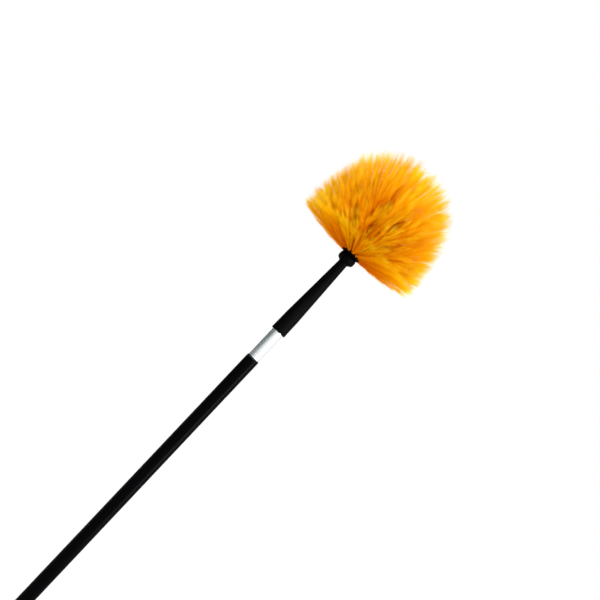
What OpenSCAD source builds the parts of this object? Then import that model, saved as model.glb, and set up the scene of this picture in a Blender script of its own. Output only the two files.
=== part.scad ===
/* [Pole tubes] */
// Outside diameter of the black outer tube
outer_d = 22; // [20:0.5:28]
// Wall of the outer tube
outer_wall = 0.75; // [0.6:0.05:1.2]
// Length of the outer tube
outer_len = 640; // [600:10:900]
// Radial space between the two tubes
tube_gap = 0.55; // [0.5:0.05:1]
// Wall of the bare metal inner tube
inner_wall = 1; // [0.8:0.1:1.5]
// Length of the inner tube
inner_len = 580; // [400:10:600]
// Bare metal that shows between the outer tube and the neck
exposed_len = 54; // [10:1:120]

/* [Mouth bush and glide ring] */
// Length of the bush inside the mouth of the outer tube
bush_len = 40; // [20:1:60]
// Thickness of the bush's rim on the end of the tube
bush_rim = 1.6; // [1:0.1:3]
// Rounding of the bush's rim
bush_edge = 0.5; // [0.2:0.1:0.8]
// Height of the split ring that guides the inner tube's lower end
ring_h = 8; // [5:0.5:14]
// Width of the slit that lets the ring snap into its groove
ring_slit = 1.5; // [1:0.1:3]
// Depth of the groove that the ring sits in
ring_groove = 2.4; // [1.5:0.1:3]

/* [Twist lock] */
// Distance from the pole's axis to the eccentric spindle
cam_offset = 1; // [0.8:0.05:1.4]
// Radial space between the centred cam and the outer tube
cam_gap = 0.5; // [0.4:0.05:0.7]
// Height of the cam
cam_h = 14; // [10:1:24]
// Diameter of the spindle that the cam turns on
spindle_d = 7; // [6:0.5:8]
// Width of the cam's slit
cam_slit = 1.6; // [1:0.1:2.5]
// Thickness of the rims above and below the glide ring
lock_rim = 1.6; // [1.2:0.1:3]
// Length of the lock plug inside the inner tube
lock_plug_len = 22; // [14:1:40]
// Wall of the lock plug's hollow part
lock_plug_wall = 2.6; // [1.6:0.1:3.5]
// Thickness of the floor under that hollow
lock_plug_floor = 2; // [1:0.5:4]
// How far the cam's washer reaches past its spindle
cam_washer_lap = 2; // [1:0.1:3]

/* [Grip and end cap] */
// Length of the soft grip
grip_len = 105; // [80:1:140]
// Wall of the soft grip
grip_wall = 1.8; // [1.4:0.1:3]
// Rounding of the grip's upper end
grip_edge = 1.2; // [0.4:0.1:1.2]
// Length of the zone of shallow rings at each end of the grip
grip_ring_zone = 20; // [12:1:26]
// Distance between those rings, and from the first one to the grip's end
grip_ring_pitch = 4; // [3:0.5:6]
// Depth of a ring
grip_ring_depth = 0.6; // [0.2:0.1:0.9]
// Radius of a ring's round section
grip_ring_r = 0.9; // [0.9:0.1:1.4]
// Length of the end cap's plug inside the tube
cap_plug_len = 20; // [12:1:30]
// Wall of that plug
cap_plug_wall = 2.6; // [1.6:0.1:3.5]
// Thickness of the end cap's rim
cap_rim = 4; // [3:0.5:6]
// Rounding of the rim's lower edge
cap_edge = 2; // [0.5:0.1:2.4]
// Rounding where the rim meets the grip
seam_edge = 0.4; // [0.2:0.1:0.5]
// Distance from the hanging eye's centre to the rim
eye_to_rim = 12; // [10:0.5:20]
// Diameter of the hanging eye
eye_d = 9; // [6:0.5:10]
// Width of the tab round the hanging eye
tab_w = 18; // [16:0.5:20]
// Thickness of the tab
tab_t = 8; // [6:0.5:12]
// Rounding of the tab's edges
tab_edge = 1.5; // [0.5:0.1:1.8]
// Chamfer at both ends of the hanging eye
eye_chamfer = 0.6; // [0.2:0.1:1]

/* [Pole tip] */
// Length of the taper that the brush head pushes on
cone_len = 46; // [34:1:60]
// Radial drop of the taper from its foot to its nose
cone_drop = 1; // [0.5:0.1:2]
// Radial step from the tube down to the foot of the taper
cone_step = 0.8; // [0.5:0.1:1.2]
// Thickness of the rim that sits on the end of the inner tube
tip_rim = 2; // [1.5:0.1:4]
// Length of the tip's plug inside the inner tube
tip_plug_len = 26; // [16:1:40]
// Wall of the hollow moulded tip
tip_wall = 2.4; // [1.8:0.1:3]
// Chamfer round the tip's nose
nose_chamfer = 1.2; // [0.6:0.1:1.6]
// Thickness of the nose
nose_wall = 4; // [3:0.5:8]
// Height of the ribs that grip the inner tube's bore
rib_h = 0.5; // [0.2:0.1:0.8]
// Width of those ribs
rib_w = 1.6; // [1:0.1:2.4]

/* [Neck] */
// Length of the neck
neck_len = 148; // [136:1:200]
// Radial wall of the neck's mouth round the inner tube
neck_mouth_wall = 2.95; // [2:0.05:4]
// Diameter of the neck under the collar
neck_top_d = 15.3; // [14:0.1:19]
// Length of the nearly straight socket part
neck_socket_len = 34; // [25:1:60]
// Radial draft over the socket part
neck_draft = 0.5; // [0:0.1:1]
// How far the neck laps over the inner tube
neck_lap = 6; // [3:0.5:12]
// Wall of the neck's hollow middle
neck_wall = 3.4; // [2.4:0.1:4]
// Thickness of the web that carries the screw
neck_web = 8; // [5:0.5:12]
// Chamfer round the neck's mouth
mouth_chamfer = 0.8; // [0.3:0.1:1.5]
// Height over which the socket widens into the hollow middle
hollow_lead = 4; // [2:0.5:8]
// Fillet that spreads the neck's top end under the collar
neck_fillet = 2; // [0.5:0.1:2.5]
// Thickness of the rim above that fillet
neck_rim = 0.8; // [0.4:0.1:2]

/* [Brush block] */
// Diameter of the rounded collar
collar_d = 28.6; // [24:0.2:34]
// Height of the collar
collar_h = 13; // [11:0.5:18]
// Rounding of the collar's lower edge
collar_low_edge = 5; // [3:0.5:6]
// Rounding of the collar's upper edge
collar_top_edge = 4; // [3:0.5:5]
// Diameter of the part that holds the tufts
hub_d = 34; // [31:0.5:42]
// Height of the part that holds the tufts
hub_h = 54; // [49:1:66]
// Rounding of that part's lower edge
hub_edge = 4; // [1:0.5:5]
// Diameter of the spigot in the neck
spigot_d = 9.5; // [8:0.1:11]
// Length of the spigot
spigot_len = 28; // [24:1:34]
// Width of the key that stops the block turning in the neck
key_w = 2; // [1.5:0.1:3]
// Height of the key above the spigot
key_h = 1; // [0.6:0.1:1.4]

/* [Screw and washer] */
// Outside diameter of the screw's thread
screw_d = 4; // [3:0.1:4.5]
// Length of the screw under its head
screw_len = 30; // [26:1:34]
// Diameter of the screw's head
screw_head_d = 7; // [6:0.1:8]
// Height of the screw's head
screw_head_h = 2.6; // [2:0.1:3.5]
// Rounding of the screw's head
screw_head_edge = 1; // [0.4:0.1:1.4]
// Width of the cross recess
recess_w = 0.8; // [0.6:0.1:1.2]
// Depth of the cross recess
recess_depth = 1.5; // [1:0.1:1.8]
// Span of the cross recess
recess_span = 4.2; // [3:0.1:4.8]
// Thread diameter of the smaller cam screw
cam_screw_d = 3; // [2.4:0.1:3.4]
// Length of the cam screw under its head
cam_screw_len = 10; // [8:0.5:13]
// Outside diameter of the washer
washer_d = 9; // [8:0.1:9.5]
// Thickness of the washers
washer_t = 1; // [0.6:0.1:1.5]

/* [Bristles] */
// Width of the bristle dome at the tips
dome_w = 226; // [180:1:270]
// Height of the dome's crown above the collar
dome_h = 184; // [140:1:215]
// Height of the dome's centre above the collar
dome_centre = 14; // [8:1:20]
// Squareness of the dome's outline, where 2 is an ellipse
dome_power = 2.6; // [2:0.1:3]
// Angle from the pole's axis to the tips of the lowest ring
lowest_tip = 84; // [75:1:86]
// Height of the lowest ring of holes above the collar
first_row = 5; // [4:0.5:7]
// Diameter of a tuft's hole
hole_d = 4; // [3.2:0.1:4.5]
// Depth of a tuft's hole
hole_depth = 6.5; // [5:0.1:7]
// Least plastic between two holes of a ring
hole_web = 0.7; // [0.5:0.1:1.5]
// Distance between neighbouring tips of a ring
tip_pitch = 50; // [42:1:70]
// Diameter of a tuft at its tip
tip_d = 15; // [8:0.5:18]
// Width of the flat wire that anchors a tuft
anchor_w = 1.6; // [1.2:0.1:2]
// Thickness of the flat wire
anchor_t = 0.5; // [0.3:0.05:0.7]
// Height of the wire above the bottom of its hole
anchor_seat = 0.5; // [0.4:0.1:1]

/* [Fits] */
// Radial clearance where a piece turns or slides
run_gap = 0.05; // [0.03:0.01:0.1]
// Radial clearance where a piece is pressed in
press_gap = 0.02; // [0.01:0.01:0.05]
// End play of a piece that turns or slides
end_gap = 0.2; // [0.1:0.05:0.4]
// Clearance round a tuft in its hole
tuft_gap = 0.1; // [0.05:0.05:0.2]
// Radial clearance of a washer's or a web's hole round its screw
screw_gap = 0.15; // [0.1:0.05:0.3]
// Least space round the washer in the neck
washer_gap = 0.3; // [0.2:0.05:0.5]

/* [Hidden] */
rings = 7;
$fn = 48;
eps = 0.01;
// A corner this small reads as sharp
sharp = 0.1;
// How far a cut runs past the face that it opens
past = 1;

black = [0.05, 0.05, 0.06];
soft_black = [0.09, 0.09, 0.1];
bare_metal = [0.8, 0.82, 0.84];
steel = [0.6, 0.61, 0.63];
white_plastic = [0.86, 0.86, 0.83];
grey_plastic = [0.35, 0.36, 0.38];

// Radii of the tubes
outer_r = outer_d / 2;
bore_r = outer_r - outer_wall;
inner_r = bore_r - tube_gap;
inner_bore_r = inner_r - inner_wall;

// Heights along the pole, from the centre of the hanging eye
tube_z = eye_to_rim + cap_rim;
mouth_z = tube_z + outer_len;
neck_z = mouth_z + bush_rim + exposed_len;
inner_top = neck_z + neck_lap;
inner_z = inner_top - inner_len;
cone_z = inner_top + tip_rim;
neck_top = neck_z + neck_len;
collar_top = neck_top + collar_h;

// The lock hangs under the inner tube, and the pole is drawn locked
groove_top = inner_z - lock_rim;
groove_h = ring_h + 2 * end_gap;
spindle_top = groove_top - groove_h - lock_rim;
spindle_len = cam_h + 2 * end_gap;
spindle_end = spindle_top - spindle_len;
groove_r = bore_r - run_gap - ring_groove;
cam_r = bore_r - cam_gap;
lock_angle = 2 * asin((cam_gap - run_gap) / (2 * cam_offset));

// Hollow of the neck
cone_foot_r = inner_r - cone_step;
cone_nose_r = cone_foot_r - cone_drop;
neck_mouth_r = inner_r + neck_mouth_wall;
neck_knee_r = neck_mouth_r - neck_draft;
socket_h = neck_lap + tip_rim + cone_len;
spigot_seat = neck_len - spigot_len - 2 * end_gap;
web_z = spigot_seat - neck_web;

// The cylinder of the hub ends where its round top begins
hub_r = hub_d / 2;
hub_straight = hub_h - hub_r;
hub_arc = hub_r * PI / 2;
row_step = (hub_straight + hub_arc - first_row) / rings;
hole_r = hole_d / 2;
tuft_r = hole_r - tuft_gap;
// Length of a tuft before it spreads
tuft_neck = 3;

function neck_r(z) = z < neck_socket_len
    ? neck_mouth_r - neck_draft * z / neck_socket_len
    : neck_knee_r - (neck_knee_r - neck_top_d / 2)
        * (z - neck_socket_len) / (neck_len - neck_socket_len);

// Angle on the hub's round top, 90 on the cylinder and 0 at the crown
function row_s(i) = first_row + (i - 1) * row_step;
function top_angle(i) = 90 - max(0, row_s(i) - hub_straight) / hub_arc * 90;
function root_r(i) = hub_r * sin(top_angle(i));
function root_z(i) = min(row_s(i), hub_straight) + hub_r * cos(top_angle(i));

// The tips lie on a rounded dome round the pole's axis
function tip_angle(i) = lowest_tip * (rings + 1 - i) / rings;
function dome_r(a) = pow(
    pow(sin(a) / (dome_w / 2), dome_power) + pow(cos(a) / (dome_h - dome_centre), dome_power),
    -1 / dome_power
);
function tip_r(i) = dome_r(tip_angle(i)) * sin(tip_angle(i));
function tip_z(i) = dome_centre + dome_r(tip_angle(i)) * cos(tip_angle(i));
function tuft_lean(i) = atan2(tip_r(i) - root_r(i), tip_z(i) - root_z(i));
function tuft_len(i) = norm([tip_r(i) - root_r(i), tip_z(i) - root_z(i)]);

// A ring has as many tufts as its tips ask for and its holes leave room for
function hole_foot_r(i) = root_r(i) - hole_depth * sin(tuft_lean(i));
function room(i) = floor(2 * PI * hole_foot_r(i) / (hole_d + hole_web));
function tufts(i) = i > rings ? 1 : min(room(i), round(2 * PI * tip_r(i) / tip_pitch));

module tube(r, bore, h) {
    difference() {
        cylinder(r = r, h = h);
        translate([0, 0, -past]) cylinder(r = bore, h = h + 2 * past);
    }
}

// Half of a round-edged disc's section, with its lower and upper corner radii
module edge_section(r, h, low, high) {
    square([r - max(low, high), h]);
    translate([0, low]) square([r, h - low - high]);
    square([r - low, h / 2]);
    translate([0, h / 2]) square([r - high, h / 2]);
    intersection() {
        translate([r - low, low]) circle(r = low);
        translate([r - low, 0]) square([low, low]);
    }
    intersection() {
        translate([r - high, h - high]) circle(r = high);
        translate([r - high, h - high]) square([high, high]);
    }
}

module on_spindle() {
    translate([cam_offset, 0, 0]) children();
}

// Puts its children at the mouth of a tuft's hole, with +Z out along the tuft
module at_tuft(i, k) {
    turn = 360 * (k + (i % 2) / 2) / tufts(i);
    translate([0, 0, collar_top])
        rotate([0, 0, turn])
            translate([root_r(i), 0, root_z(i)])
                rotate([0, tuft_lean(i), 0])
                    children();
}

module each_tuft() {
    for (i = [1:rings + 1])
        for (k = [0:tufts(i) - 1])
            at_tuft(i, k) children();
}

// Half of the tab's section, rounded at its outer corners
module tab_section() {
    translate([0, -tab_t / 2]) edge_section(tab_w / 2, tab_t, tab_edge, tab_edge);
}

// A round end about the eye, and a straight part up to the rim
module tab() {
    rotate([90, 0, 0]) rotate_extrude() tab_section();
    linear_extrude(height = eye_to_rim + eps) {
        tab_section();
        mirror([1, 0]) tab_section();
    }
}

module hanging_eye() {
    rotate([90, 0, 0]) {
        cylinder(d = eye_d, h = tab_t + 2 * past, center = true);
        for (side = [0, 1])
            mirror([0, 0, side]) translate([0, 0, tab_t / 2 - eye_chamfer])
                cylinder(d1 = eye_d, d2 = eye_d + 4 * eye_chamfer, h = 2 * eye_chamfer);
    }
}

module end_cap() {
    plug_r = bore_r - press_gap;
    color(black) difference() {
        union() {
            translate([0, 0, eye_to_rim])
                rotate_extrude() edge_section(outer_r + grip_wall, cap_rim, cap_edge, seam_edge);
            translate([0, 0, tube_z - eps]) cylinder(r = plug_r, h = cap_plug_len + eps);
            tab();
        }
        hanging_eye();
        translate([0, 0, tube_z]) cylinder(r = plug_r - cap_plug_wall, h = cap_plug_len + past);
    }
}

module grip_sleeve() {
    rows = floor(grip_ring_zone / grip_ring_pitch);
    groove_centre = outer_r + grip_wall + grip_ring_r - grip_ring_depth;
    color(soft_black) translate([0, 0, tube_z])
        rotate_extrude() difference() {
            translate([outer_r + press_gap, 0])
                edge_section(grip_wall - press_gap, grip_len, seam_edge, grip_edge);
            for (k = [1:rows])
                for (z = [k * grip_ring_pitch, grip_len - k * grip_ring_pitch])
                    translate([groove_centre, z]) circle(r = grip_ring_r);
        }
}

module outer_tube() {
    color(black) translate([0, 0, tube_z]) tube(outer_r, bore_r, outer_len);
}

module mouth_bush() {
    color(black) difference() {
        union() {
            translate([0, 0, mouth_z - bush_len])
                cylinder(r = bore_r - press_gap, h = bush_len + eps);
            translate([0, 0, mouth_z])
                rotate_extrude() edge_section(outer_r, bush_rim, sharp, bush_edge);
        }
        translate([0, 0, mouth_z - bush_len - past])
            cylinder(r = inner_r + run_gap, h = bush_len + bush_rim + 2 * past);
    }
}

module glide_ring() {
    color(white_plastic) translate([0, 0, groove_top - end_gap - ring_h]) difference() {
        tube(bore_r - run_gap, groove_r + run_gap, ring_h);
        translate([0, -ring_slit / 2, -past]) cube([outer_r, ring_slit, ring_h + 2 * past]);
    }
}

module inner_tube() {
    color(bare_metal) translate([0, 0, inner_z]) tube(inner_r, inner_bore_r, inner_len);
}

module lock_plug() {
    rim_r = inner_r - run_gap;
    color(grey_plastic) difference() {
        union() {
            translate([0, 0, inner_z - eps])
                cylinder(r = inner_bore_r - press_gap, h = lock_plug_len + eps);
            translate([0, 0, groove_top]) cylinder(r = rim_r, h = lock_rim);
            translate([0, 0, groove_top - groove_h - eps])
                cylinder(r = groove_r, h = groove_h + 2 * eps);
            translate([0, 0, spindle_top]) cylinder(r = rim_r, h = lock_rim);
            on_spindle() translate([0, 0, spindle_end])
                cylinder(d = spindle_d, h = spindle_len + eps);
        }
        translate([0, 0, inner_z + lock_plug_floor])
            cylinder(r = inner_bore_r - press_gap - lock_plug_wall, h = lock_plug_len);
        on_spindle() translate([0, 0, spindle_end - past])
            cylinder(d = cam_screw_d + 2 * press_gap, h = cam_screw_len + 2 * past);
    }
}

// The cam's outside is off-centre on its bore by the spindle's own offset
module lock_cam() {
    color(white_plastic) on_spindle() translate([0, 0, spindle_top - end_gap - cam_h])
        difference() {
            rotate([0, 0, -lock_angle]) translate([-cam_offset, 0, 0]) {
                difference() {
                    cylinder(r = cam_r, h = cam_h);
                    translate([-cam_r - past, -cam_slit / 2, -past])
                        cube([cam_r, cam_slit, cam_h + 2 * past]);
                }
            }
            translate([0, 0, -past])
                cylinder(r = spindle_d / 2 + run_gap, h = cam_h + 2 * past);
        }
}

module cam_washer() {
    color(steel) on_spindle() translate([0, 0, spindle_end - washer_t])
        tube(spindle_d / 2 + cam_washer_lap, cam_screw_d / 2 + screw_gap, washer_t);
}

// A screw with its head down, a cross recess in it and a tapered point
module pan_screw(d, length) {
    point = d / 2;
    difference() {
        union() {
            rotate_extrude()
                edge_section(screw_head_d / 2, screw_head_h, screw_head_edge, sharp);
            translate([0, 0, screw_head_h - eps]) cylinder(d = d, h = length - point + eps);
            translate([0, 0, screw_head_h + length - point - eps])
                cylinder(d1 = d, d2 = d / 3, h = point);
        }
        for (a = [0, 90])
            rotate([0, 0, a]) translate([-recess_span / 2, -recess_w / 2, -past])
                cube([recess_span, recess_w, recess_depth + past]);
    }
}

module cam_screw() {
    color(steel) on_spindle()
        translate([0, 0, spindle_end - washer_t - screw_head_h])
            pan_screw(cam_screw_d, cam_screw_len);
}

module pole_tip() {
    plug_r = inner_bore_r - press_gap;
    plug_z = inner_top - tip_plug_len;
    hollow_h = tip_plug_len + tip_rim + cone_len - nose_wall;
    color(black) difference() {
        union() {
            translate([0, 0, plug_z]) cylinder(r = plug_r - rib_h, h = tip_plug_len + eps);
            for (a = [0:60:300])
                rotate([0, 0, a]) intersection() {
                    translate([0, 0, plug_z]) cylinder(r = plug_r, h = tip_plug_len + eps);
                    translate([plug_r - 2 * rib_h, -rib_w / 2, plug_z])
                        cube([3 * rib_h, rib_w, tip_plug_len + eps]);
                }
            translate([0, 0, inner_top]) cylinder(r = inner_r, h = tip_rim);
            translate([0, 0, cone_z - eps])
                cylinder(r1 = cone_foot_r, r2 = cone_nose_r, h = cone_len - nose_chamfer + eps);
            translate([0, 0, cone_z + cone_len - nose_chamfer - eps])
                cylinder(r1 = cone_nose_r, r2 = cone_nose_r - nose_chamfer, h = nose_chamfer);
        }
        translate([0, 0, plug_z - past])
            cylinder(r = cone_nose_r - tip_wall, h = hollow_h + past);
    }
}

// Half of the neck's outline, with the fillet at its top end
module neck_outline() {
    top_r = neck_top_d / 2;
    polygon([
        [0, 0],
        [neck_mouth_r - mouth_chamfer, 0],
        [neck_mouth_r, mouth_chamfer],
        [neck_knee_r, neck_socket_len],
        [top_r, neck_len],
        [0, neck_len]
    ]);
    translate([0, neck_len - neck_rim]) square([top_r + neck_fillet, neck_rim]);
    translate([top_r, neck_len - neck_rim - neck_fillet]) difference() {
        square(neck_fillet + eps);
        translate([neck_fillet, 0]) circle(r = neck_fillet);
    }
}

// Half of the neck's hollows: mouth, tapered socket, middle, screw hole, spigot's seat
module neck_hollow() {
    socket_foot_r = cone_foot_r + run_gap;
    socket_top_r = cone_nose_r + run_gap;
    lead_z = socket_h + hollow_lead;
    translate([-past, -past]) square([inner_r + run_gap + past, neck_lap + tip_rim + past]);
    polygon([
        [0, neck_lap],
        [socket_foot_r, neck_lap],
        [socket_foot_r, neck_lap + tip_rim],
        [socket_top_r, socket_h],
        [0, socket_h]
    ]);
    polygon([
        [0, socket_h - past],
        [socket_top_r, socket_h - past],
        [neck_r(lead_z) - neck_wall, lead_z],
        [neck_r(web_z) - neck_wall, web_z],
        [0, web_z]
    ]);
    translate([-past, web_z - past])
        square([screw_d / 2 + screw_gap + past, neck_web + 2 * past]);
    translate([-past, spigot_seat]) square([spigot_d / 2 + run_gap + past, neck_len]);
}

module neck() {
    keyway_w = key_w + 2 * run_gap;
    color(black) translate([0, 0, neck_z]) difference() {
        rotate_extrude() difference() {
            neck_outline();
            neck_hollow();
        }
        translate([0, -keyway_w / 2, neck_len - spigot_len])
            cube([spigot_d / 2 + key_h + run_gap, keyway_w, spigot_len + past]);
    }
}

module neck_washer() {
    color(steel) translate([0, 0, neck_z + web_z - washer_t])
        tube(
            min(washer_d / 2, neck_r(web_z) - neck_wall - washer_gap),
            screw_d / 2 + screw_gap,
            washer_t
        );
}

module neck_screw() {
    color(steel) translate([0, 0, neck_z + web_z - washer_t - screw_head_h])
        pan_screw(screw_d, screw_len);
}

module brush_block() {
    color(black) difference() {
        union() {
            translate([0, 0, neck_top - spigot_len])
                cylinder(d = spigot_d, h = spigot_len + eps);
            translate([0, -key_w / 2, neck_top - spigot_len])
                cube([spigot_d / 2 + key_h, key_w, spigot_len + eps]);
            translate([0, 0, neck_top])
                rotate_extrude()
                    edge_section(collar_d / 2, collar_h, collar_low_edge, collar_top_edge);
            translate([0, 0, collar_top - eps])
                rotate_extrude() {
                    edge_section(hub_r, hub_straight + eps, hub_edge, eps);
                    intersection() {
                        translate([0, hub_straight]) circle(r = hub_r);
                        square([hub_r, hub_h + past]);
                    }
                }
        }
        translate([0, 0, neck_top - spigot_len - past])
            cylinder(r = screw_d / 2 + press_gap, h = screw_len + 2 * past);
        each_tuft()
            translate([0, 0, -hole_depth]) cylinder(r = hole_r, h = hole_depth + hub_r / 2);
    }
}

// The wire lies across the hole, under the fold of its tuft
module anchor(clearance) {
    size = [2 * tuft_r, anchor_t, anchor_w] + 2 * clearance * [1, 1, 1];
    translate([0, 0, anchor_w / 2 + anchor_seat - hole_depth]) cube(size, center = true);
}

module tuft_anchors() {
    color(steel) each_tuft() anchor(0);
}

module tuft(length) {
    rounding = tip_d / 6;
    difference() {
        rotate_extrude() polygon([
            [0, end_gap - hole_depth],
            [tuft_r, end_gap - hole_depth],
            [tuft_r, tuft_neck],
            [tip_d / 2, length - rounding],
            [tip_d / 2 - rounding, length],
            [0, length]
        ]);
        anchor(run_gap);
    }
}

module tuft_ring(i) {
    shade = (i - 1) / rings;
    color([0.98, 0.55 + 0.2 * shade, 0.03 + 0.15 * shade])
        for (k = [0:tufts(i) - 1])
            at_tuft(i, k) tuft(tuft_len(i));
}

end_cap();
grip_sleeve();
outer_tube();
mouth_bush();
glide_ring();
inner_tube();
lock_plug();
lock_cam();
cam_washer();
cam_screw();
pole_tip();
neck();
neck_washer();
neck_screw();
brush_block();
tuft_anchors();
tuft_ring(rings + 1);  // crown_tuft
for (i = [1:rings])
    tuft_ring(i);
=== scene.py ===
import math
import bpy
import bmesh
import numpy as np
from mathutils import Matrix, Vector


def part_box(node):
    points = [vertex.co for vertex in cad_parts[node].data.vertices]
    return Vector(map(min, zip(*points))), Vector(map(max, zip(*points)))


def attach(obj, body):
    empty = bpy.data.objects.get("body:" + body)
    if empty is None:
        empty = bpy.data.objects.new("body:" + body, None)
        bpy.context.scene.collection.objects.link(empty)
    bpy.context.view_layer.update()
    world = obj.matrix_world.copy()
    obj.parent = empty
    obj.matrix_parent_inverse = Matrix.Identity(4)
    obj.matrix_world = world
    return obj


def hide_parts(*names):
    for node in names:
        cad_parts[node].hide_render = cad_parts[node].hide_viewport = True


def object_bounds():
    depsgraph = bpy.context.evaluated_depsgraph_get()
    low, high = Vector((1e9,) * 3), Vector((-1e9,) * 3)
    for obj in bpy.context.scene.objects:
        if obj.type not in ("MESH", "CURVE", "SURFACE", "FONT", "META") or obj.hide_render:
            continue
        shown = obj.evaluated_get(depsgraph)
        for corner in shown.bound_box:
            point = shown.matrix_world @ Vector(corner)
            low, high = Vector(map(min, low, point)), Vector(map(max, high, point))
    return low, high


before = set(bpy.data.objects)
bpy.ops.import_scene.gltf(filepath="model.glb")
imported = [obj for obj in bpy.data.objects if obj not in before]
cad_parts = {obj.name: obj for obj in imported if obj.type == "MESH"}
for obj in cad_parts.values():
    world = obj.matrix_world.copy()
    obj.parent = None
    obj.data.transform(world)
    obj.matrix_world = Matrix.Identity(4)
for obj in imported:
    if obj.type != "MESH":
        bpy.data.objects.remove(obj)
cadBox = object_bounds()
print("frame loaded")


# a socket of a shader node that works in ordinary sums
class Socket:
    def __init__(self, tree, output):
        self.tree, self.output = tree, output

    def maths(self, operation, *values):
        node = self.tree.nodes.new("ShaderNodeMath")
        node.operation = operation
        for slot, value in zip(node.inputs, values):
            if isinstance(value, Socket):
                self.tree.links.new(value.output, slot)
            else:
                slot.default_value = value
        return Socket(self.tree, node.outputs[0])

    def __add__(self, other):
        return self.maths("ADD", self, other)

    def __radd__(self, other):
        return self.maths("ADD", other, self)

    def __sub__(self, other):
        return self.maths("SUBTRACT", self, other)

    def __rsub__(self, other):
        return self.maths("SUBTRACT", other, self)

    def __mul__(self, other):
        return self.maths("MULTIPLY", self, other)

    def __rmul__(self, other):
        return self.maths("MULTIPLY", other, self)

    def __abs__(self):
        return self.maths("ABSOLUTE", self)


# the nodes of a material or of the world
class Nodes:
    def __init__(self, owner):
        owner.use_nodes = True
        self.tree = owner.node_tree

    def add(self, kind, settings, values, out=0):
        node = self.tree.nodes.new("ShaderNode" + kind)
        for name, value in settings.items():
            if name == "stops":
                fillRamp(node.color_ramp, value)
            else:
                setattr(node, name, value)
        self.fill(node, values)
        return Socket(self.tree, node.outputs[out])

    def fill(self, node, values):
        for name, value in values.items():
            if isinstance(value, Socket):
                self.tree.links.new(value.output, node.inputs[name])
            else:
                node.inputs[name].default_value = value

    def place(self):  # metres in the brush's own frame
        return self.add("TexCoord", {}, {}, "Object")

    def noise(self, vector, scale, detail=3.0):
        return self.add("TexNoise", {}, {"Vector": vector, "Scale": scale, "Detail": detail})

    def streaks(self, vector, across, along, detail=3.0):  # with a scale of its own along the pole
        squeezed = self.add("Mapping", {}, {"Vector": vector, "Scale": (across, across, along)})
        return self.noise(squeezed, 1.0, detail)

    def step(self, value, low, high):  # smooth, from 0 at low to 1 at high
        return self.add("MapRange", {"interpolation_type": "SMOOTHSTEP"},
                        {"Value": value, "From Min": low, "From Max": high})

    def blend(self, share, first, second):
        return self.add("Mix", {"data_type": "RGBA"}, {0: share, 6: first, 7: second}, 2)

    def bump(self, height):  # height in metres
        return self.add("Bump", {}, {"Height": height, "Distance": 1.0})

    def rays(self, *kinds):  # 1 where the ray is of one of these kinds
        found = [self.add("LightPath", {}, {}, f"Is {kind} Ray") for kind in kinds]
        return sum(found[1:], found[0])


def fillRamp(ramp, stops):
    while len(ramp.elements) < len(stops):
        ramp.elements.new(0.5)
    for element, (position, colour) in zip(ramp.elements, stops):
        element.position, element.color = position, colour


def onScreen(red, green, blue):  # a colour as it shows, from 0 to 255
    shown = [channel / 255 for channel in (red, green, blue)]
    return tuple(c / 12.92 if c < 0.04045 else ((c + 0.055) / 1.055) ** 2.4 for c in shown) + (1.0,)


def finish(name, constants, build):
    material = bpy.data.materials.new(name)
    nodes = Nodes(material)
    shader = nodes.tree.nodes["Principled BSDF"]
    nodes.fill(shader, constants)
    nodes.fill(shader, build(nodes))
    return material


def dress(material, *names):
    for name in names:
        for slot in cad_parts[name].material_slots:
            slot.material = material


# black enamel of the outer tube
enamel = {
    "colour": onScreen(3, 3, 4), "gloss": 0.015, "roughness": 0.24, "cloudScale": 55.0, "cloud": 0.08,
    "peelScale": 900.0, "peel": 0.000003,
    "rubbed": onScreen(18, 18, 20), "rubScale": (420.0, 9.0), "rubEdge": (0.6, 0.78),
    "rubShade": 0.45, "rubRough": 0.1,
    "bare": onScreen(150, 152, 155), "wearHeight": 0.0014, "wearScale": 600.0, "wearEdge": (0.42, 0.6),
    "wearShade": 0.1,
}


def buildEnamel(nodes):
    place = nodes.place()
    height = nodes.add("SeparateXYZ", {}, {0: place}, 2)
    rubs = nodes.step(nodes.streaks(place, *enamel["rubScale"], detail=4.0), *enamel["rubEdge"])
    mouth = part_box("outer_tube")[1].z
    worn = nodes.step(height, mouth - enamel["wearHeight"], mouth)  # round the tube's rim
    worn = worn * nodes.step(nodes.noise(place, enamel["wearScale"]), *enamel["wearEdge"])
    colour = nodes.blend(rubs * enamel["rubShade"], enamel["colour"], enamel["rubbed"])
    cloud = nodes.noise(place, enamel["cloudScale"]) * enamel["cloud"]
    peel = nodes.noise(place, enamel["peelScale"], 1.0) * enamel["peel"]
    return {"Base Color": nodes.blend(worn * enamel["wearShade"], colour, enamel["bare"]),
            "Roughness": cloud + rubs * enamel["rubRough"] + enamel["roughness"],
            "Normal": nodes.bump(peel)}


# drawn aluminium of the inner tube, with fine lines along it
aluminium = {
    "colour": onScreen(232, 235, 236), "dull": onScreen(188, 194, 197), "roughness": 0.2,
    "lineScale": (2400.0, 5.0), "lineDepth": 0.000005, "lineShade": 0.5, "lineRough": 0.2,
    "scuffScale": (90.0, 1100.0), "scuffEdge": (0.58, 0.75), "scuffShade": 0.25, "scuffRough": 0.1,
}


def buildAluminium(nodes):
    place = nodes.place()
    lines = nodes.streaks(place, *aluminium["lineScale"])
    scuffs = nodes.streaks(place, *aluminium["scuffScale"], detail=2.0)
    scuffs = nodes.step(scuffs, *aluminium["scuffEdge"])  # faint marks round the tube
    shade = lines * aluminium["lineShade"] + scuffs * aluminium["scuffShade"]
    rough = lines * aluminium["lineRough"] + scuffs * aluminium["scuffRough"]
    return {"Base Color": nodes.blend(shade, aluminium["colour"], aluminium["dull"]),
            "Roughness": rough + aluminium["roughness"],
            "Normal": nodes.bump(lines * aluminium["lineDepth"])}


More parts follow.
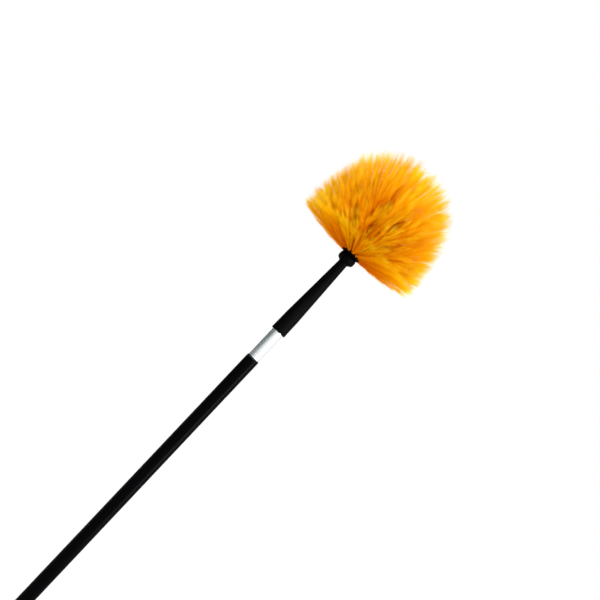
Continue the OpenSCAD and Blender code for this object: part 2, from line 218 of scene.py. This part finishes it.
# black moulding of the neck and the brush block
moulding = {
    "colour": onScreen(3, 3, 4), "gloss": 0.02, "roughness": 0.5,
    "flowScale": (95.0, 14.0), "flowRough": 0.16, "bloom": onScreen(12, 12, 14), "bloomEdge": (0.5, 0.85),
    "grainScale": 2200.0, "grain": 0.000018, "seamHalf": 0.00022, "seamHeight": 0.00007,
}


def buildMoulding(nodes):
    place = nodes.place()
    depth = nodes.add("SeparateXYZ", {}, {0: place}, 1)
    flow = nodes.streaks(place, *moulding["flowScale"], detail=4.0)
    bloom = nodes.step(flow, *moulding["bloomEdge"])
    seam = 1 - nodes.step(abs(depth), 0.0, moulding["seamHalf"])  # where the mould's halves met
    grain = nodes.noise(place, moulding["grainScale"], 2.0)
    return {"Base Color": nodes.blend(bloom, moulding["colour"], moulding["bloom"]),
            "Roughness": flow * moulding["flowRough"] + moulding["roughness"],
            "Normal": nodes.bump(grain * moulding["grain"] + seam * moulding["seamHeight"])}


# plastics and rubber of the smaller pieces
smallFinishes = {
    "matte_black": {"colour": onScreen(7, 7, 8), "other": onScreen(18, 18, 20), "roughness": 0.46,
                    "grain": 0.00003, "grainScale": 1700.0, "gloss": 0.06},
    "soft_grip": {"colour": onScreen(22, 22, 23), "other": onScreen(38, 38, 40), "roughness": 0.74,
                  "grain": 0.00012, "grainScale": 1100.0, "gloss": 0.15},
    "white_acetal": {"colour": onScreen(228, 228, 220), "other": onScreen(206, 205, 193), "roughness": 0.32,
                     "grain": 0.00001, "grainScale": 1700.0, "gloss": 0.4},
    "grey_nylon": {"colour": onScreen(96, 98, 102), "other": onScreen(80, 82, 86), "roughness": 0.42,
                   "grain": 0.00002, "grainScale": 1700.0, "gloss": 0.3},
}
smallClouds = {"scale": 140.0, "edge": (0.4, 0.75), "rough": 0.14}


def smallFinish(name):
    look = smallFinishes[name]

    def build(nodes):
        place = nodes.place()
        cloud = nodes.noise(place, smallClouds["scale"], 4.0)
        patches = nodes.step(cloud, *smallClouds["edge"])
        grain = nodes.noise(place, look["grainScale"], 2.0)
        return {"Base Color": nodes.blend(patches, look["colour"], look["other"]),
                "Roughness": cloud * smallClouds["rough"] + look["roughness"],
                "Normal": nodes.bump(grain * look["grain"])}
    return finish(name, {"Specular IOR Level": look["gloss"]}, build)


# plated steel of the washers, the screws and the tufts' anchors
steel = {
    "colour": onScreen(198, 199, 202), "dull": onScreen(160, 161, 166),
    "cloudScale": 500.0, "cloud": 0.2, "roughness": 0.22,
}


def buildSteel(nodes):
    cloud = nodes.noise(nodes.place(), steel["cloudScale"])
    return {"Base Color": nodes.blend(cloud, steel["colour"], steel["dull"]),
            "Roughness": cloud * steel["cloud"] + steel["roughness"]}


def dressFrame():
    dress(finish("black_enamel", {"Specular IOR Level": enamel["gloss"]}, buildEnamel), "outer_tube")
    dress(finish("drawn_aluminium", {"Metallic": 1.0}, buildAluminium), "inner_tube")
    dress(finish("black_moulding", {"Specular IOR Level": moulding["gloss"]}, buildMoulding),
          "neck", "brush_block")
    dress(finish("plated_steel", {"Metallic": 1.0}, buildSteel),
          "cam_washer", "cam_screw", "neck_washer", "neck_screw", "tuft_anchors")
    dress(smallFinish("matte_black"), "end_cap", "mouth_bush", "pole_tip")
    dress(smallFinish("soft_grip"), "grip_sleeve")
    dress(smallFinish("white_acetal"), "glide_ring", "lock_cam")
    dress(smallFinish("grey_nylon"), "lock_plug")
    print("finishes on the frame")


# bristles: lengths in metres, angles in degrees, stations from 0 at the root to 1 at the tip
bristle = {
    "perTuft": 190, "perTuftQuick": 60, "seed": 7,
    "radius": 0.00017, "tipShare": 0.45, "segments": 8, "rootRough": 0.4, "tipRougher": 0.15,
    "hairs": 2, "hairStart": 0.86, "hairShare": 0.5, "hairSpread": 0.0026,
    "holeRadius": 0.0018, "bundles": 17, "bundleJitter": 0.2,
    "bundleLean": 10.5, "tuftLean": 1.2, "fibreLean": 0.8, "strays": 0.12, "strayLean": 6.0,
    "longest": 1.02, "shorten": 0.075, "bundleShorten": 0.045,
    "wave": 0.0011, "waves": 2.2, "waveFrom": 0.3, "phaseSpread": 0.5,
    "midTint": 0.5, "tuftTint": 0.1, "bundleTint": 0.2, "fibreTint": 0.12, "faceTint": 0.006,
    "tintRange": (0.04, 0.96),
}

# how the tufts' fans differ over the dome: a higher power opens them nearer to the tips, and the front's
# tufts are those whose direction reaches from frontFrom to frontTo along -Y; droopSpread is in radians
fans = {
    "power": 1.0, "topPower": 0.45, "topFrom": 60,
    # the lowest row's extra tint makes it paler: painted light on the dome's lower rim
    "lowWithin": 6, "lowPower": 0.22, "lowSpread": 1.4, "lowRowPaintedLight": 0.12, "droop": 3.5, "droopSpread": 0.008,
    "frontFrom": 0.6, "frontTo": 0.9, "frontPower": 1.5, "frontGather": 0.12,
}

# colours along a bristle, for the deepest and the palest tint; the darker roots are painted shade of the
# dome's deep core, and the paler tips are partly the flagged ends and partly painted light
bristleColoursAndShade = {
    "deep": [(0.0, onScreen(206, 80, 0)), (0.16, onScreen(240, 104, 0)), (0.5, onScreen(253, 134, 0)),
             (0.88, onScreen(255, 168, 0)), (1.0, onScreen(255, 190, 0))],
    "pale": [(0.0, onScreen(244, 134, 0)), (0.16, onScreen(255, 160, 0)), (0.5, onScreen(255, 186, 0)),
             (0.88, onScreen(255, 212, 0)), (1.0, onScreen(255, 230, 50))],
}
mapName, mapMargin = "OFBake", 0.002  # the bristles' map, and how far it keeps from its ends


def buildBristle(nodes):  # the map's first number is the tint, its second the station
    spot = nodes.add("UVMap", {"uv_map": mapName}, {})
    tint = nodes.add("SeparateXYZ", {}, {0: spot}, 0)
    station = nodes.add("SeparateXYZ", {}, {0: spot}, 1)
    # along the station the colour darkens towards the root as painted shade and pales towards the tip
    # partly as painted light
    deep = nodes.add("ValToRGB", {"stops": bristleColoursAndShade["deep"]}, {0: station})
    pale = nodes.add("ValToRGB", {"stops": bristleColoursAndShade["pale"]}, {0: station})
    return {"Base Color": nodes.blend(tint, deep, pale),
            "Roughness": station * bristle["tipRougher"] + bristle["rootRough"]}


strandRadius = 0.25  # in the comb, whose fibres are 1 long and stand 1 apart


def strand(bm, row, segments):  # one straight three-sided strand, at 0..1 along Z
    made = bmesh.ops.create_cone(bm, cap_ends=True, segments=3, radius1=strandRadius,
                                 radius2=strandRadius * bristle["tipShare"], depth=1.0)["verts"]
    bmesh.ops.translate(bm, verts=made, vec=(0, row, 0.5))
    bm.edges.index_update()
    sides = {edge for vert in made for edge in vert.link_edges
             if abs(edge.verts[0].co.z - edge.verts[1].co.z) > 0.5}
    if segments > 1:
        bmesh.ops.subdivide_edges(bm, edges=sorted(sides, key=lambda edge: edge.index),
                                  cuts=segments - 1, use_grid_fill=True)


def comb(count):  # count straight fibres in a row along X, each with its hairs in rows along Y
    bm = bmesh.new()
    strand(bm, 0, bristle["segments"])
    for row in range(bristle["hairs"]):
        strand(bm, row + 1, 1)
    bmesh.ops.recalc_face_normals(bm, faces=bm.faces)
    mesh = bpy.data.meshes.new("fibre")
    bm.to_mesh(mesh)
    bm.free()
    teeth = bpy.data.objects.new("teeth", mesh)
    bpy.context.collection.objects.link(teeth)
    row = teeth.modifiers.new("row", "ARRAY")
    row.count, row.use_relative_offset, row.use_constant_offset = count, False, True
    row.constant_offset_displace = (1.0, 0, 0)
    whole = bpy.data.meshes.new_from_object(teeth.evaluated_get(bpy.context.evaluated_depsgraph_get()))
    bpy.data.objects.remove(teeth)
    return whole


def tuftSolids(node):  # the points of each tuft that the CAD node holds
    bm = bmesh.new()
    bm.from_mesh(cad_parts[node].data)
    bmesh.ops.remove_doubles(bm, verts=bm.verts, dist=1e-6)
    solids, seen = [], set()
    for first in bm.verts:
        if first in seen:
            continue
        seen.add(first)
        solid, waiting = [], [first]
        while waiting:
            vert = waiting.pop()
            solid.append(tuple(vert.co))
            near = [edge.other_vert(vert) for edge in vert.link_edges]
            waiting += [other for other in near if other not in seen]
            seen.update(near)
        solids.append(np.array(solid))
    bm.free()
    return solids


def hubCentre():
    low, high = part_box("brush_block")
    return np.array([0, 0, (low.z + high.z) / 2])


def tuftAxis(points):  # the foot of a tuft, its direction and its length
    middle = points.mean(0)
    way = np.linalg.svd(points - middle, full_matrices=False)[2][0]
    along = (points - middle) @ way
    ends = [np.linalg.norm(middle + way * end - hubCentre()) for end in (along.min(), along.max())]
    if ends[1] < ends[0]:
        way, along = -way, -along
    return middle + way * along.min(), way, along.max() - along.min()


def domeShape(axes):  # the tufts' tips as angle from the pole and distance from the hub's centre
    tips = np.array([foot + way * length for foot, way, length in axes]) - hubCentre()
    reach = np.linalg.norm(tips, axis=1)
    angle = np.arccos(tips[:, 2] / reach)
    order = np.argsort(angle)
    lowest = min(math.asin(way[2]) for foot, way, length in axes)
    return {"angles": angle[order], "reaches": reach[order],
            "lowest": lowest, "floor": lowest - math.radians(fans["droop"])}


def fanOut(count, dice):  # each fibre's place in the hole, its bundle and its lean from the tuft's axis
    order = np.arange(count) + 0.5
    turn = order * math.pi * (3 - math.sqrt(5))  # sunflower spacing fills the round hole evenly
    hole = np.stack([np.cos(turn), np.sin(turn)], 1)
    hole = hole * (np.sqrt(order / count) * bristle["holeRadius"])[:, None]
    bundles = bristle["bundles"]
    bundle = (turn / (2 * math.pi) * bundles).astype(int) % bundles
    angle = np.arange(bundles) + dice.uniform(0, 1) + dice.normal(0, bristle["bundleJitter"], bundles)
    angle = angle * 2 * math.pi / bundles
    spread = np.sqrt((dice.permutation(bundles) + 0.5) / bundles) * bristle["bundleLean"]
    lean = (np.stack([np.cos(angle), np.sin(angle)], 1) * spread[:, None])[bundle]
    lean = lean + dice.normal(0, bristle["tuftLean"], 2) + dice.normal(0, bristle["fibreLean"], (count, 2))
    stray = dice.random((count, 1)) < bristle["strays"]
    lean = lean + dice.normal(0, bristle["strayLean"], (count, 2)) * stray
    return hole, np.radians(lean), bundle


def plant(axis, count, dome, dice):  # one tuft's fibres, a row of each table for every fibre
    foot, way, length = axis
    side = np.cross((0, 0, 1), way) if way[2] < 0.999 else np.array([1.0, 0, 0])  # the crown's is upright
    side = side / np.linalg.norm(side)
    rise = np.cross(way, side)
    hole, lean, bundle = fanOut(count, dice)
    pitch = math.asin(min(way[2], 1))
    front = np.clip((-way[1] - fans["frontFrom"]) / (fans["frontTo"] - fans["frontFrom"]), 0, 1)
    lowRow = pitch < dome["lowest"] + math.radians(fans["lowWithin"])
    if lowRow:
        lean[:, 0] *= fans["lowSpread"]
    else:
        lean = lean * (1 - front * fans["frontGather"])  # the front's tufts are tighter and show the block
    lean[:, 1] = np.maximum(lean[:, 1], dome["floor"] - pitch) + dice.normal(0, fans["droopSpread"], count)
    bend = side * np.tan(lean[:, :1]) + rise * np.tan(lean[:, 1:])
    lay = way + bend
    lay /= np.linalg.norm(lay, axis=1, keepdims=True)
    tip = foot + lay * length - hubCentre()
    reach = np.linalg.norm(tip, axis=1)
    trim = np.interp(np.arccos(tip[:, 2] / reach), dome["angles"], dome["reaches"]) / reach
    cut = 1 - np.abs(dice.normal(0, bristle["shorten"], count))
    cut = cut - np.abs(dice.normal(0, bristle["bundleShorten"], bristle["bundles"]))[bundle]
    tint = dice.normal(0, bristle["bundleTint"], bristle["bundles"])[bundle]
    tint = tint + dice.normal(0, bristle["fibreTint"], count)
    phase = dice.uniform(0, 2 * math.pi, (bristle["bundles"], 2))[bundle]
    phase = phase + dice.normal(0, bristle["phaseSpread"], (count, 2))
    power = fans["power"] + (fans["frontPower"] - fans["power"]) * front
    if lowRow:
        # a paler tint for the lowest row: painted light on the dome's lower rim
        power, tint = fans["lowPower"], tint + fans["lowRowPaintedLight"]
    elif pitch > math.radians(fans["topFrom"]):
        power = fans["topPower"]
    tint = tint + dice.normal(bristle["midTint"], bristle["tuftTint"])
    each = np.ones((count, 1))
    return {"foot": foot * each, "way": way * each, "side": side * each, "rise": rise * each,
            "hole": hole, "bend": bend, "phase": phase, "power": each * power,
            "run": length * (cut * np.minimum(trim, bristle["longest"]))[:, None],
            "tint": np.clip(tint, *bristle["tintRange"])}


def combTuft(mesh, fibres, dice):  # bends the straight comb into the tufts
    straight = np.empty(len(mesh.vertices) * 3, np.float32)
    mesh.vertices.foreach_get("co", straight)
    straight = straight.reshape(-1, 3).astype(float)
    fibre, row = np.rint(straight[:, 0]).astype(int), np.rint(straight[:, 1]).astype(int)
    section = straight[:, :2] - np.stack([fibre, row], 1)  # within the strand
    along, hairy = straight[:, 2:], (row > 0)[:, None]
    own = {name: table[fibre] for name, table in fibres.items()}
    start = np.where(hairy, bristle["hairStart"], 0.0)
    station = start + along * (1 - start)
    lay = own["way"] + own["bend"] * np.power(station, own["power"])
    lay /= np.linalg.norm(lay, axis=1, keepdims=True)
    grown = np.clip(station / bristle["waveFrom"], 0, 1) ** 2 * bristle["wave"]
    swing = np.sin(2 * math.pi * bristle["waves"] * station + own["phase"]) * grown
    turn = dice.uniform(0, 2 * math.pi, (fibre.max() + 1, bristle["hairs"] + 1))[fibre, row]
    hair = np.stack([np.cos(turn), np.sin(turn)], 1) * along * hairy * bristle["hairSpread"]
    thick = np.where(hairy, bristle["hairShare"], 1.0) * bristle["radius"] / strandRadius
    across = own["hole"] + swing + hair + section * thick
    spot = own["foot"] + lay * own["run"] * station
    spot = spot + own["side"] * across[:, :1] + own["rise"] * across[:, 1:]
    mesh.vertices.foreach_set("co", spot.astype(np.float32).ravel())
    mesh.update()
    mapTints(mesh, own["tint"], station[:, 0], section)


def mapTints(mesh, tint, station, section):  # a section's three corners differ a little
    corner = np.rint(np.arctan2(section[:, 1], section[:, 0]) / (2 * math.pi / 3)) % 3 - 1
    station = np.clip(station, mapMargin, 1 - mapMargin)
    spot = np.stack([tint + corner * bristle["faceTint"], station], 1)
    verts = np.empty(len(mesh.loops), np.int32)
    mesh.loops.foreach_get("vertex_index", verts)
    layer = mesh.uv_layers.new(name=mapName)
    layer.data.foreach_set("uv", spot[verts].astype(np.float32).ravel())


def growBristles():
    material = finish("gold_bristle", {"Specular IOR Level": 0.0}, buildBristle)
    dice = np.random.default_rng(bristle["seed"])
    perTuft = bristle["perTuft"]
    rings = {node: [tuftAxis(points) for points in tuftSolids(node)]
             for node in sorted(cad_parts) if node.startswith(("tufts_ring", "crown_tuft"))}
    dome = domeShape([axis for axes in rings.values() for axis in axes])
    for node, axes in rings.items():
        axes.sort(key=lambda axis: math.atan2(axis[1][1], axis[1][0]))
        tufts = [plant(axis, perTuft, dome, dice) for axis in axes]
        mesh = comb(perTuft * len(axes))
        combTuft(mesh, {name: np.concatenate([tuft[name] for tuft in tufts]) for name in tufts[0]}, dice)
        mesh.materials.clear()
        mesh.materials.append(material)
        piece = bpy.data.objects.new(node.replace("tufts", "bristles").replace("tuft", "bristles"), mesh)
        bpy.context.collection.objects.link(piece)
        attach(piece, "head")
        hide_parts(node)
        print(node, len(axes), "tufts", len(mesh.polygons), "faces")


# the photograph's view: the pole leans across the frame and the camera looks slightly up
shot = {
    "distance": 1.4, "tilt": 4.8, "lean": 43.36, "aimX": -0.009, "aimZ": 0.7706,
    "focalPixels": 915, "framePixels": 600, "sensor": 36, "clip": (0.05, 100),
}


def placeCamera():
    tilt, lean = math.radians(shot["tilt"]), math.radians(shot["lean"])
    forward = Vector((0, math.cos(tilt), math.sin(tilt)))
    right, up = Vector((1, 0, 0)), Vector((0, -math.sin(tilt), math.cos(tilt)))
    imageRight = right * math.cos(lean) + up * math.sin(lean)
    imageUp = up * math.cos(lean) - right * math.sin(lean)
    camera = bpy.data.objects.new("camera", bpy.data.cameras.new("camera"))
    bpy.context.collection.objects.link(camera)
    turned = Matrix((imageRight, imageUp, -forward)).transposed().to_4x4()
    spot = Vector((shot["aimX"], 0, shot["aimZ"])) - forward * shot["distance"]
    camera.matrix_world = Matrix.Translation(spot) @ turned
    camera.data.lens = shot["focalPixels"] / shot["framePixels"] * shot["sensor"]
    camera.data.sensor_width = shot["sensor"]
    camera.data.clip_start, camera.data.clip_end = shot["clip"]
    bpy.context.scene.camera = camera


# light and floor; the flag is a dark patch of the world that shows only in reflections
studio = {
    "keyFrom": (0.5, -0.78, 0.48), "keyStrength": 2.8, "keyAngle": 26,
    "stripSpot": (1.35, -0.66, 0.6), "stripSize": (0.2, 1.4), "stripPower": 42,
    "flagFrom": (-0.94, 0.34, 0.0), "flagEdge": (-0.05, 0.68), "flagDepth": 0.95,
    "flagTone": (0.62, 1.0, 0.93, 1.0),
    "floorSize": 14.0, "floorGrey": 0.72, "floorRough": 0.9, "floorGlow": 0.25, "floorWhite": 1.1,
}
white = (1.0, 1.0, 1.0, 1.0)


def hangLamp(name, kind, source):  # shines from source towards the pole's axis
    lamp = bpy.data.objects.new(name, bpy.data.lights.new(name, kind))
    lamp.rotation_euler = Vector(source).to_track_quat("Z", "Y").to_euler()
    bpy.context.collection.objects.link(lamp)
    return lamp


def lightStudio():
    key = hangLamp("key", "SUN", studio["keyFrom"])
    key.data.energy, key.data.angle = studio["keyStrength"], math.radians(studio["keyAngle"])
    strip = hangLamp("strip", "AREA", (studio["stripSpot"][0], studio["stripSpot"][1], 0))
    strip.location = studio["stripSpot"]  # draws the streak along the black tube
    strip.visible_camera = strip.visible_diffuse = False
    strip.data.shape, strip.data.energy = "RECTANGLE", studio["stripPower"]
    strip.data.size, strip.data.size_y = studio["stripSize"]
    world = bpy.data.worlds.new("studio")
    bpy.context.scene.world = world
    nodes = Nodes(world)
    ahead = nodes.add("VectorMath", {"operation": "DOT_PRODUCT"},
                      {0: nodes.add("TexCoord", {}, {}, "Generated"), 1: studio["flagFrom"]}, "Value")
    flag = nodes.step(ahead, *studio["flagEdge"]) * nodes.rays("Glossy", "Transmission")
    nodes.fill(nodes.tree.nodes["Background"], {"Color": nodes.blend(flag, white, studio["flagTone"]),
                                                "Strength": 1 - flag * studio["flagDepth"]})
    bpy.context.scene.view_settings.view_transform = "Standard"


def layFloor():
    bm = bmesh.new()
    bmesh.ops.create_grid(bm, x_segments=1, y_segments=1, size=studio["floorSize"])
    bmesh.ops.translate(bm, verts=bm.verts, vec=(0, 0, cadBox[0].z))
    mesh = bpy.data.meshes.new("floor")
    bm.to_mesh(mesh)
    bm.free()
    floor = bpy.data.objects.new("floor", mesh)
    bpy.context.collection.objects.link(floor)
    material = bpy.data.materials.new("pale_floor")
    nodes = Nodes(material)
    shader = nodes.tree.nodes["Principled BSDF"]
    nodes.fill(shader, {"Base Color": (studio["floorGrey"],) * 3 + (1,), "Roughness": studio["floorRough"],
                        "Specular IOR Level": 0.0})
    matte = Socket(nodes.tree, shader.outputs[0])
    glow = nodes.add("Emission", {}, {"Color": white, "Strength": studio["floorWhite"]})
    shown = nodes.rays("Camera", "Glossy", "Transmission") * studio["floorGlow"]  # it lights nothing
    mixed = nodes.add("MixShader", {}, {0: shown, 1: matte, 2: glow})
    nodes.fill(nodes.tree.nodes["Material Output"], {"Surface": mixed})
    mesh.materials.append(material)


placeCamera()
dressFrame()
growBristles()
lightStudio()
layFloor()
print("camera, light and floor placed")
